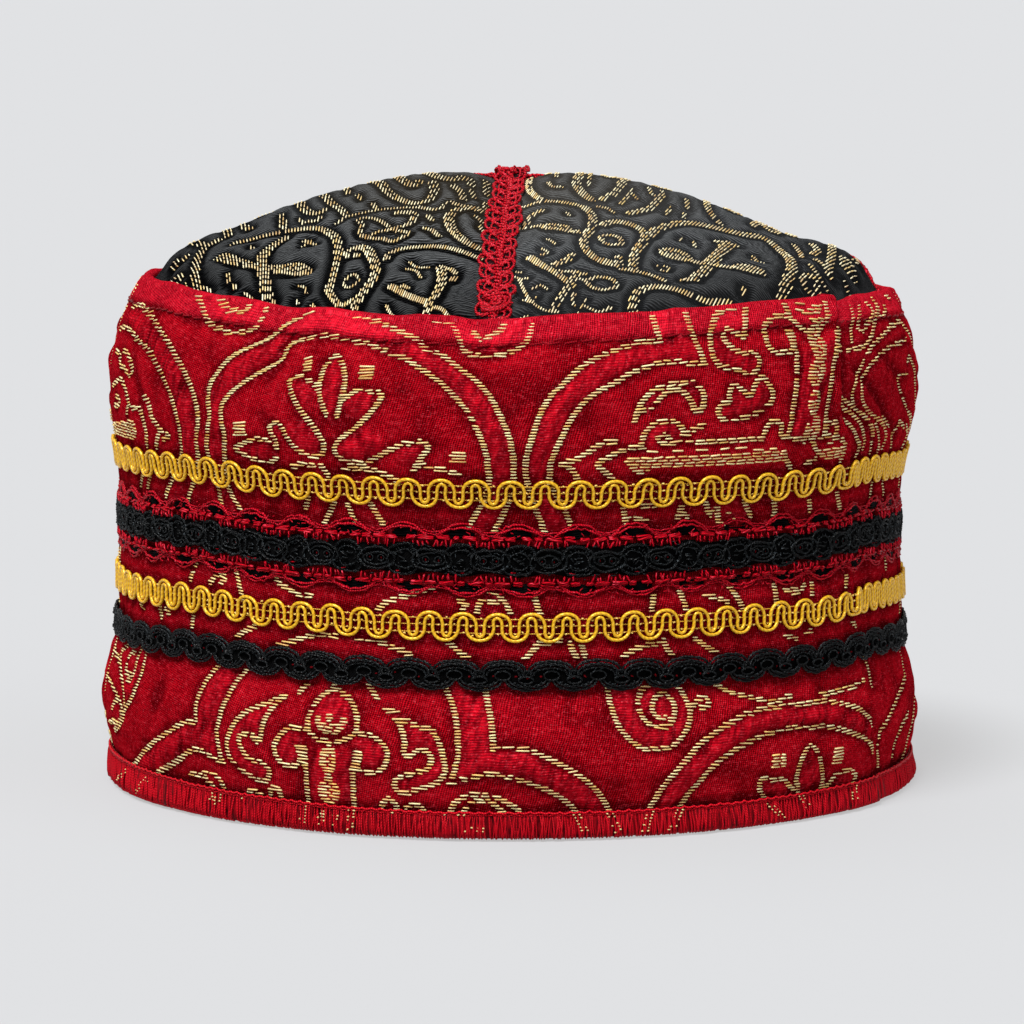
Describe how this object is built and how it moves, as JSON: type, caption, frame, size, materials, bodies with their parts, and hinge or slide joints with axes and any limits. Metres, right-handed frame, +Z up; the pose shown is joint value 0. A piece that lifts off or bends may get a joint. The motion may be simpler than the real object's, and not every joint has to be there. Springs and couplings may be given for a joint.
{
  "type": "ceremonial cap",
  "caption": "Round brimless cap with a tall cloth side band, domed panelled crown let into a folded rim, applied gimp and lace trims, and an open hollow for the head.",
  "frame": {"origin": "centre of the head opening, on the surface that the cap stands on", "axes": "+Z up from the hem to the crown; -Y the front, where the crown's front seam meets the rim; +X the wearer's left"},
  "size_m": [0.1933, 0.1924, 0.1454],
  "materials": {
    "red_brocade": "red twill and satin brocade with pale gold weft figures",
    "black_brocade": "black quilted satin brocade with gold weft figures",
    "red_crochet": "crimson rayon crochet",
    "gold_gimp": "glossy gold gimp cord",
    "black_gimp": "black rayon gimp"
  },
  "bodies": {
    "root": {"side_band": "red_brocade", "bottom_hem": "red_brocade", "gold_gimp_upper": "gold_gimp", "gold_gimp_lower": "gold_gimp", "lace_red": "red_crochet", "black_gimp_middle": "black_gimp", "black_gimp_lower": "black_gimp", "crown_front_left": "black_brocade", "crown_front_right": "black_brocade", "crown_back_left": "black_brocade", "crown_back_right": "black_brocade", "braid_front_back": "red_crochet", "braid_side_to_side": "red_crochet"}
  },
  "joints": []
}
